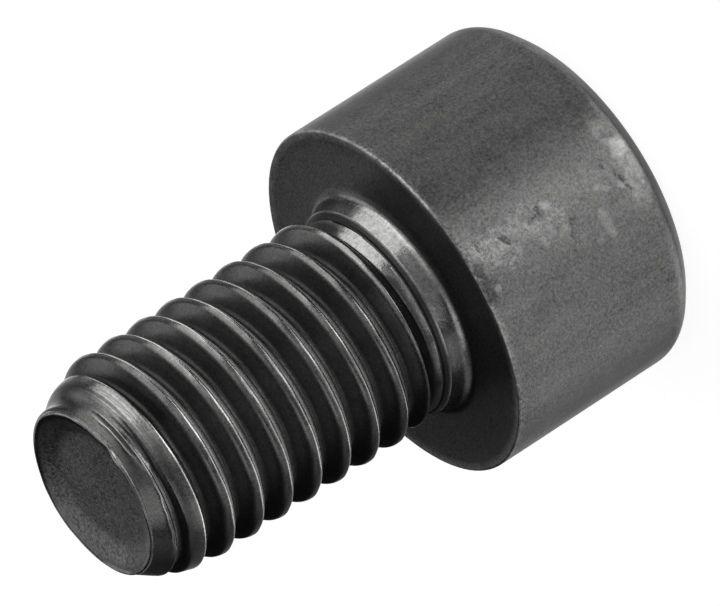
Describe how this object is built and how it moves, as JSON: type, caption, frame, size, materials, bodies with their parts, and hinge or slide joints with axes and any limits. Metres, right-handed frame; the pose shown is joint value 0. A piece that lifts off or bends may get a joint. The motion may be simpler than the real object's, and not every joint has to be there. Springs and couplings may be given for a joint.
{
  "type": "cheese head screw",
  "caption": "Cylinder-head cap screw with hexagon socket, plain collar, coarse right-hand thread and dished bullet point, black finish.",
  "frame": {"origin": "centre of the bearing face under the head, on the screw's axis", "axes": "+Z along the shank, towards the end of the thread; the screw stands on its drive face"},
  "size_m": [0.0158, 0.0158, 0.0257],
  "materials": {
    "blackened_steel": "black oxide over cold-formed steel, satin, worn greyer on edges and crests"
  },
  "bodies": {
    "root": {"screw": "blackened_steel"}
  },
  "joints": []
}
